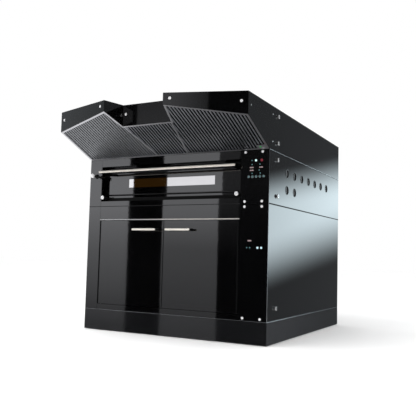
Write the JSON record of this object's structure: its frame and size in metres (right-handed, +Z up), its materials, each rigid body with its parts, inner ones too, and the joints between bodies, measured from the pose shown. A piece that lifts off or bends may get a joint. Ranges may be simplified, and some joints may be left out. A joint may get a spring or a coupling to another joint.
{
  "type": "commercial pizza deck oven",
  "caption": "Gloss black deck oven with drop-down glazed door, proving cabinet with two swing doors, control panel, and a winged motor hood with slatted filters.",
  "frame": {"origin": "centre of the bounding box's base, on the floor under the feet", "axes": "+X right as seen from the front, -Y towards the user at the front, +Z up"},
  "size_m": [1.578, 2.266, 1.71],
  "materials": {
    "gloss_black": "mirror gloss black enamel",
    "matt_black": "matt black",
    "gland_plastic": "matt",
    "stainless_steel": "brushed",
    "filter_steel": "satin",
    "galvanised_steel": "dull zinc",
    "element_steel": "heat-darkened",
    "mineral_wool": "matt fibre",
    "baking_stone": "matt",
    "lamp_glass": "clear warm",
    "display_red": "glossy",
    "lamp_teal": "glossy",
    "control_gear": "matt",
    "motor_grey": "cast, painted",
    "bright_chrome": "polished",
    "window_glass": "brown tinted",
    "warm_steel": "satin, warm",
    "switch_green": "glossy",
    "key_bright": "glossy",
    "key_teal": "glossy",
    "key_pale": "glossy"
  },
  "bodies": {
    "oven": {"plinth_skirt": "gloss_black", "base_frame": "matt_black", "levelling_feet": "stainless_steel", "cabinet_left_side": "gloss_black", "cabinet_right_side": "gloss_black", "cabinet_rear_panel": "gloss_black", "cabinet_front_frame": "gloss_black", "drip_strip": "stainless_steel", "cabinet_liner": "stainless_steel", "tray_racks": "stainless_steel", "cabinet_heater": "element_steel", "lower_control_panel": "gloss_black", "deck_left_side": "gloss_black", "deck_right_side": "gloss_black", "deck_rear_panel": "gloss_black", "deck_front_frame": "gloss_black", "door_rests": "matt_black", "chamber_liner": "stainless_steel", "chamber_insulation": "mineral_wool", "stone_slabs": "baking_stone", "heating_elements": "element_steel", "chamber_lamp": "lamp_glass", "upper_control_panel": "gloss_black", "display_windows": "display_red", "indicator_lamps": "lamp_teal", "switchgear": "control_gear", "cable_glands": "gland_plastic", "hood_left_side": "gloss_black", "hood_right_side": "gloss_black", "hood_canopy": "gloss_black", "left_wing_fascia": "gloss_black", "right_wing_fascia": "gloss_black", "centre_fascia": "gloss_black", "filter_rails": "filter_steel", "left_filter": "filter_steel", "centre_filter": "filter_steel", "right_filter": "filter_steel", "fan_housing": "galvanised_steel", "fan_motor": "motor_grey", "outlet_collar": "galvanised_steel", "cover_screws": "bright_chrome", "cap_nuts": "bright_chrome"},
    "oven_door": {"oven_door": "gloss_black", "oven_window": "window_glass", "oven_handle_bar": "warm_steel"},
    "left_door": {"left_door": "gloss_black", "left_door_handle": "warm_steel"},
    "right_door": {"right_door": "gloss_black", "right_door_handle": "warm_steel"},
    "damper": {"damper_pull": "bright_chrome"},
    "fan": {"fan_wheel": "galvanised_steel"},
    "hood_switch": {"hood_switch": "switch_green"},
    "power_key": {"power_key": "key_bright"},
    "program_key_1": {"program_key_1": "key_teal"},
    "program_key_2": {"program_key_2": "key_teal"},
    "program_key_3": {"program_key_3": "key_teal"},
    "program_key_4": {"program_key_4": "key_teal"},
    "program_key_5": {"program_key_5": "key_teal"},
    "cabinet_key_1": {"cabinet_key_1": "key_pale"},
    "cabinet_key_2": {"cabinet_key_2": "key_pale"}
  },
  "joints": [
    {"name": "oven_door_hinge", "type": "hinge", "parent": "oven", "child": "oven_door", "pos_m": [-0.05, -0.527, 1.0653], "axis": [1, 0, 0], "range_deg": [0, 90]},
    {"name": "left_door_hinge", "type": "hinge", "parent": "oven", "child": "left_door", "pos_m": [-0.646, -0.582, 0.5285], "axis": [0, 0, -1], "range_deg": [0, 100]},
    {"name": "right_door_hinge", "type": "hinge", "parent": "oven", "child": "right_door", "pos_m": [0.546, -0.582, 0.5285], "axis": [0, 0, 1], "range_deg": [0, 100]},
    {"name": "damper_slide", "type": "slide", "parent": "oven", "child": "damper", "axis": [0, -1, 0], "range_m": [0, 0.06]},
    {"name": "fan_spin", "type": "hinge", "parent": "oven", "child": "fan", "pos_m": [-0.063, 0.307, 1.4698], "axis": [0, 1, 0], "continuous": true},
    {"name": "hood_switch_press", "type": "slide", "parent": "oven", "child": "hood_switch", "axis": [0, 0.395, 0.9187], "range_m": [0, 0.0015], "stiffness_N_per_m": 400, "springref_m": -0.003},
    {"name": "power_key_press", "type": "slide", "parent": "oven", "child": "power_key", "axis": [0, 1, 0], "range_m": [0, 0.0015], "stiffness_N_per_m": 400, "springref_m": -0.003},
    {"name": "program_key_1_press", "type": "slide", "parent": "oven", "child": "program_key_1", "axis": [0, 1, 0], "range_m": [0, 0.0015], "stiffness_N_per_m": 400, "springref_m": -0.003},
    {"name": "program_key_2_press", "type": "slide", "parent": "oven", "child": "program_key_2", "axis": [0, 1, 0], "range_m": [0, 0.0015], "stiffness_N_per_m": 400, "springref_m": -0.003},
    {"name": "program_key_3_press", "type": "slide", "parent": "oven", "child": "program_key_3", "axis": [0, 1, 0], "range_m": [0, 0.0015], "stiffness_N_per_m": 400, "springref_m": -0.003},
    {"name": "program_key_4_press", "type": "slide", "parent": "oven", "child": "program_key_4", "axis": [0, 1, 0], "range_m": [0, 0.0015], "stiffness_N_per_m": 400, "springref_m": -0.003},
    {"name": "program_key_5_press", "type": "slide", "parent": "oven", "child": "program_key_5", "axis": [0, 1, 0], "range_m": [0, 0.0015], "stiffness_N_per_m": 400, "springref_m": -0.003},
    {"name": "cabinet_key_1_press", "type": "slide", "parent": "oven", "child": "cabinet_key_1", "axis": [0, 1, 0], "range_m": [0, 0.0015], "stiffness_N_per_m": 400, "springref_m": -0.003},
    {"name": "cabinet_key_2_press", "type": "slide", "parent": "oven", "child": "cabinet_key_2", "axis": [0, 1, 0], "range_m": [0, 0.0015], "stiffness_N_per_m": 400, "springref_m": -0.003}
  ]
}
